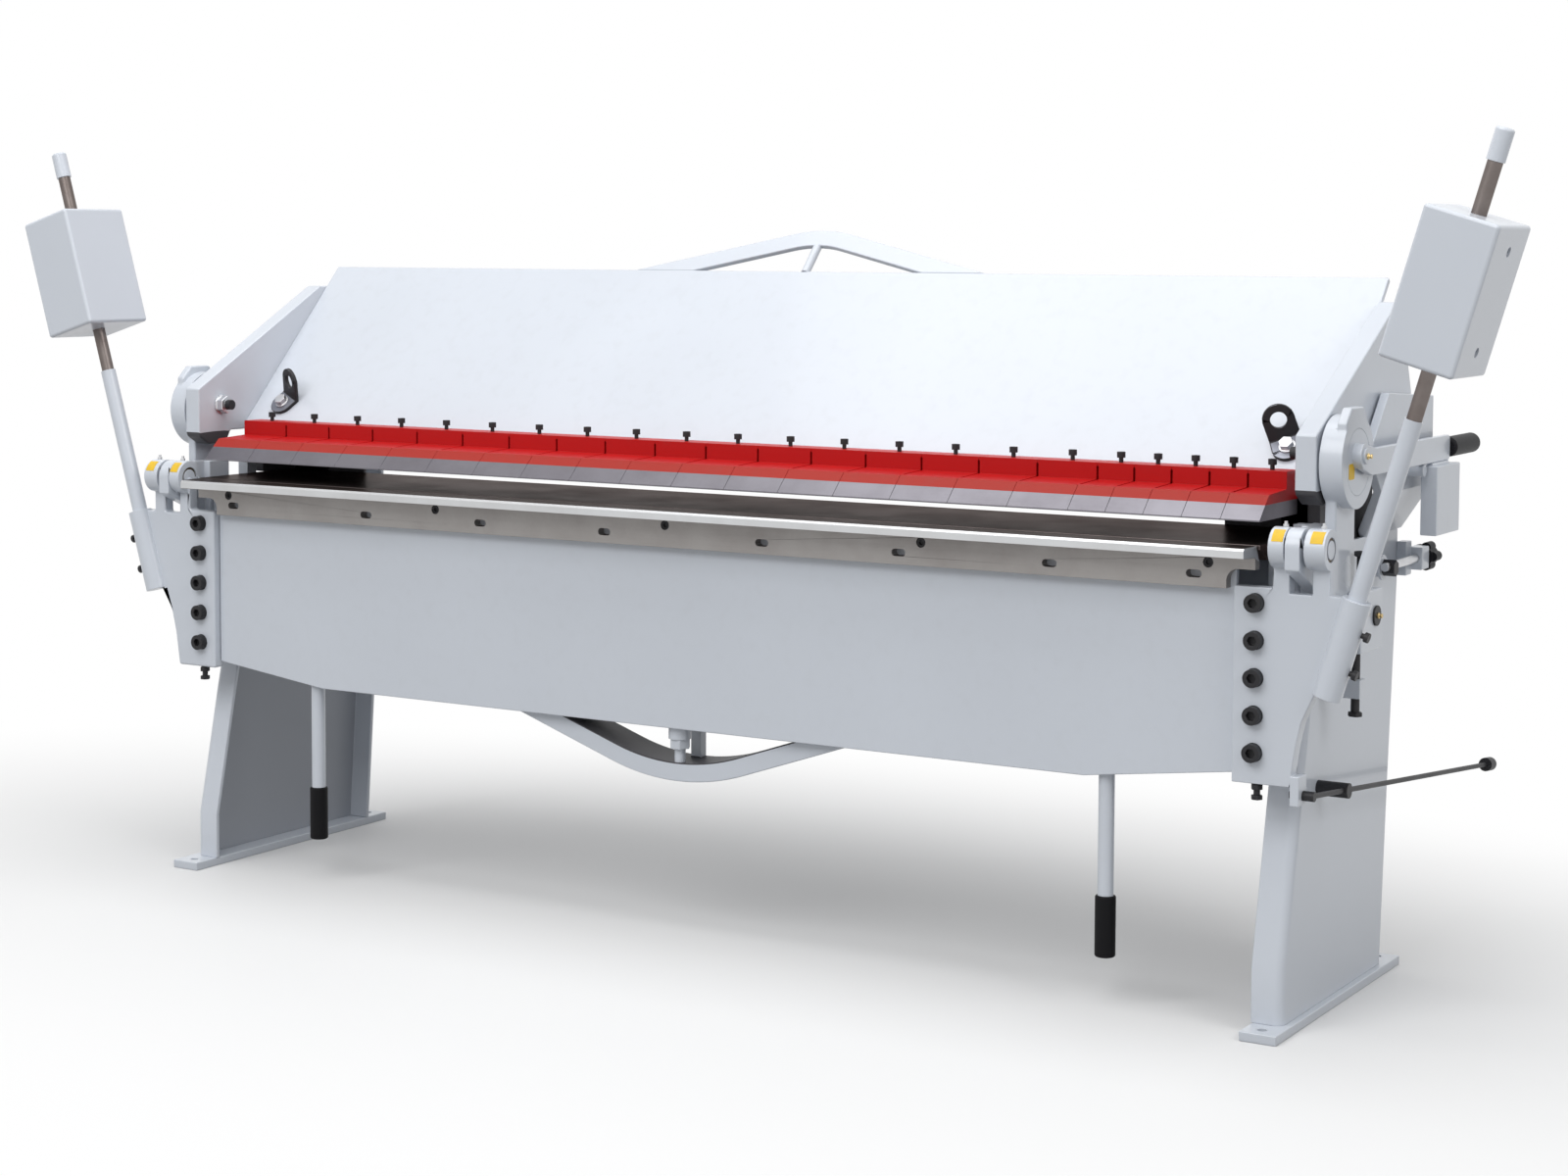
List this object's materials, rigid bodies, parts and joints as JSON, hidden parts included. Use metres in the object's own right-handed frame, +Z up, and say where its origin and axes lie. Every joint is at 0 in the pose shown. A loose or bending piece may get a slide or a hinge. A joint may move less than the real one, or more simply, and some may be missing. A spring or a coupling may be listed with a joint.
{
  "type": "box and pan brake",
  "caption": "Hand folding machine for sheet metal: clamping beam with separate fingers over a bed, and a counterweighted apron hinged along the bed's front edge.",
  "frame": {"origin": "on the floor, centre of the rectangle of the four floor bolt holes, halfway between the side frames", "axes": "+X along the machine to the side with the narrow fingers (right hand of someone facing the apron), +Y to the rear of the machine, +Z up"},
  "size_m": [3.3988, 1.1587, 1.6107],
  "materials": {
    "grey_paint": "light grey gloss paint on castings and plates",
    "dark_paint": "dark paint on the legs under the beam",
    "red_paint": "red gloss paint with bare steel nose",
    "bed_steel": "ground steel",
    "folding_steel": "ground steel, slightly brown",
    "bare_steel": "turned steel",
    "black_steel": "black oxide",
    "bronze": "bronze bushes",
    "black_plastic": "black moulded plastic",
    "black_rubber": "black rubber grips"
  },
  "bodies": {
    "stand": {"side_frame_right": "grey_paint", "side_frame_left": "grey_paint", "foot_plates": "grey_paint", "bed_beam": "grey_paint", "bed_bar": "bed_steel", "bed_screws": "black_steel", "bed_end_blocks": "grey_paint", "hinge_blocks": "grey_paint", "hinge_pins": "grey_paint", "guide_cheeks": "grey_paint", "lever_stop_pins": "grey_paint", "rod_anchors": "grey_paint", "anchor_pins": "bare_steel", "clamp_adjusters": "black_steel", "setback_brackets": "grey_paint", "stop_stud": "black_steel"},
    "beam_carriage": {"beam_pivots": "black_steel"},
    "setback_knob_right": {"setback_knob_right": "black_plastic"},
    "setback_knob_left": {"setback_knob_left": "black_plastic"},
    "apron": {"apron_plate": "grey_paint", "apron_frame": "grey_paint", "folding_bar": "folding_steel", "folding_bar_screws": "black_steel", "arm_right": "grey_paint", "arm_left": "grey_paint", "arm_screws": "black_steel", "hinge_bushes": "bronze", "grease_nipples": "bare_steel", "levelling_screws": "black_steel", "lever_tubes": "grey_paint", "lever_rods": "bare_steel", "lever_caps": "grey_paint", "socket_screws": "black_steel", "pull_handles": "grey_paint", "pull_grips": "black_rubber", "lower_truss": "grey_paint", "truss_screw": "grey_paint"},
    "counterweight_right": {"counterweight_right": "grey_paint"},
    "counterweight_left": {"counterweight_left": "grey_paint"},
    "stop_rod": {"stop_rod": "black_steel"},
    "stop_collar": {"stop_collar": "black_steel"},
    "clamp_beam": {"clamp_panel": "grey_paint", "finger_rail": "grey_paint", "rear_plate": "grey_paint", "end_plates": "grey_paint", "beam_legs": "dark_paint", "upper_arch": "grey_paint", "arch_bolt": "grey_paint", "lifting_eyes": "black_steel", "eye_bolts": "bare_steel", "hub_studs": "bare_steel", "wide_fingers": "red_paint", "narrow_fingers": "red_paint", "finger_screws": "black_steel"},
    "clamp_lever_right": {"clamp_lever_right": "grey_paint", "lever_grip_right": "black_plastic"},
    "clamp_lever_left": {"clamp_lever_left": "grey_paint", "lever_grip_left": "black_plastic"},
    "connecting_rod_right": {"connecting_rod_right": "grey_paint"},
    "connecting_rod_left": {"connecting_rod_left": "grey_paint"}
  },
  "joints": [
    {"name": "fold", "type": "hinge", "parent": "stand", "child": "apron", "pos_m": [0, -0.296, 0.881], "axis": [-1, 0, 0], "range_deg": [0, 105]},
    {"name": "beam_tilt", "type": "hinge", "parent": "beam_carriage", "child": "clamp_beam", "pos_m": [0, 0.175, 0.8], "axis": [1, 0, 0], "range_deg": [0, 4.87]},
    {"name": "clamp_lever_right", "type": "hinge", "parent": "clamp_beam", "child": "clamp_lever_right", "pos_m": [1.398, -0.176, 1.038], "axis": [1, 0, 0], "range_deg": [0, 85.2]},
    {"name": "clamp_lever_left", "type": "hinge", "parent": "clamp_beam", "child": "clamp_lever_left", "pos_m": [-1.398, -0.176, 1.038], "axis": [1, 0, 0], "range_deg": [0, 85.2]},
    {"name": "connecting_rod_right", "type": "hinge", "parent": "clamp_lever_right", "child": "connecting_rod_right", "pos_m": [1.365, -0.164, 1.026], "axis": [1, 0, 0], "range_deg": [-86.2, 0]},
    {"name": "connecting_rod_left", "type": "hinge", "parent": "clamp_lever_left", "child": "connecting_rod_left", "pos_m": [-1.365, -0.164, 1.026], "axis": [1, 0, 0], "range_deg": [-86.2, 0]},
    {"name": "setback", "type": "slide", "parent": "stand", "child": "beam_carriage", "axis": [0, 1, 0], "range_m": [0, 0.004]},
    {"name": "setback_knob_right", "type": "hinge", "parent": "stand", "child": "setback_knob_right", "pos_m": [1.33, 0.37, 0.803], "axis": [0, 1, 0], "range_deg": [0, 720.5]},
    {"name": "setback_knob_left", "type": "hinge", "parent": "stand", "child": "setback_knob_left", "pos_m": [-1.33, 0.37, 0.803], "axis": [0, 1, 0], "range_deg": [0, 720.5]},
    {"name": "counterweight_right", "type": "slide", "parent": "apron", "child": "counterweight_right", "axis": [0.2877, 0, 0.9577], "range_m": [-0.096, 0.092]},
    {"name": "counterweight_left", "type": "slide", "parent": "apron", "child": "counterweight_left", "axis": [-0.2877, 0, 0.9577], "range_m": [-0.096, 0.092]},
    {"name": "stop_rod", "type": "hinge", "parent": "apron", "child": "stop_rod", "pos_m": [1.351, -0.277, 0.441], "axis": [1, 0, 0], "range_deg": [0, 69.4]},
    {"name": "stop_collar", "type": "slide", "parent": "stop_rod", "child": "stop_collar", "axis": [0, 0.9946, -0.1041], "range_m": [0, 0.66]}
  ],
  "couplings": [
    {"joint": "clamp_lever_right", "follows": "beam_tilt", "ratio": 17.48},
    {"joint": "clamp_lever_left", "follows": "beam_tilt", "ratio": 17.48},
    {"joint": "connecting_rod_right", "follows": "beam_tilt", "ratio": -17.688},
    {"joint": "connecting_rod_left", "follows": "beam_tilt", "ratio": -17.688},
    {"joint": "setback_knob_right", "follows": "setback", "rad_per_m": 3141.6},
    {"joint": "setback_knob_left", "follows": "setback", "rad_per_m": 3141.6},
    {"joint": "stop_rod", "follows": "fold", "ratio": 0.6596},
    {"joint": "stop_collar", "follows": "fold", "m_per_rad": 0.3595}
  ]
}
